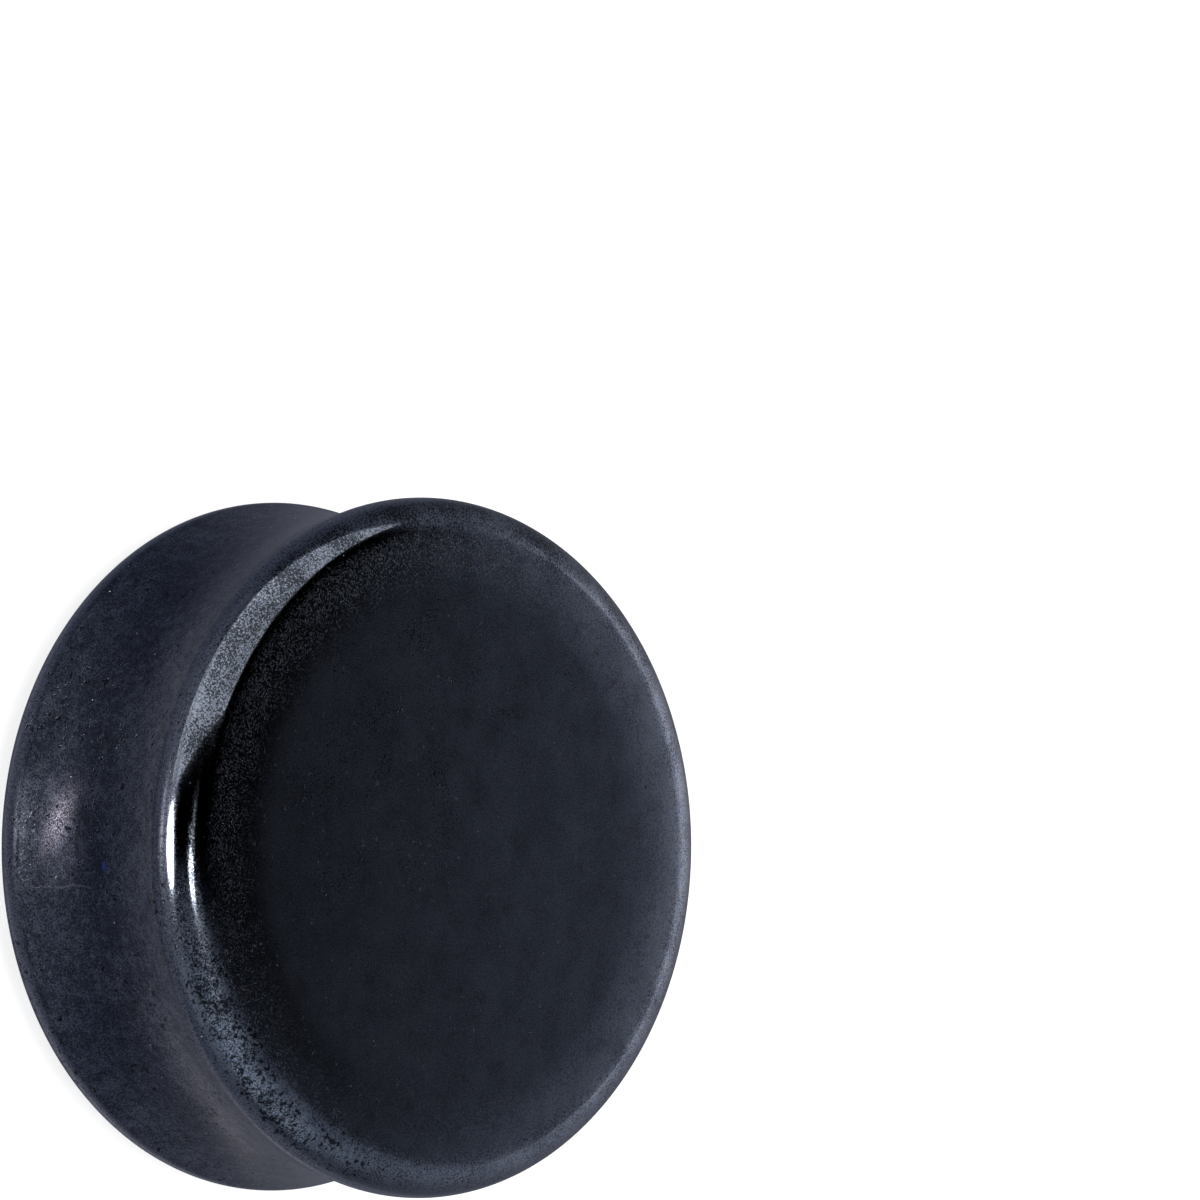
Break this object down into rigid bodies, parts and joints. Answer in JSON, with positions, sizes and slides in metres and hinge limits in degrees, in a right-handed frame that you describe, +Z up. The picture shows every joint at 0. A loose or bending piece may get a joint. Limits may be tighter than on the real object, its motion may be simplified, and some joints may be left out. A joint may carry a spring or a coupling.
{
  "type": "double flared ear plug",
  "caption": "Solid stone ear plug for a stretched lobe, with polished rounded flares, a shallow saddle groove between them and flat satin faces.",
  "frame": {"origin": "centre of the back face, which the plug lies on", "axes": "+Z up along the plug's own axis, from the back face to the front face; the shape is round about Z, so X and Y are free"},
  "size_m": [0.0266, 0.0266, 0.0119],
  "materials": {
    "hematite": "dark blue-grey hematite with a submetallic lustre: mirror-polished rims with fine pits, satin faces and groove"
  },
  "bodies": {
    "root": {"saddle_plug": "hematite"}
  },
  "joints": []
}
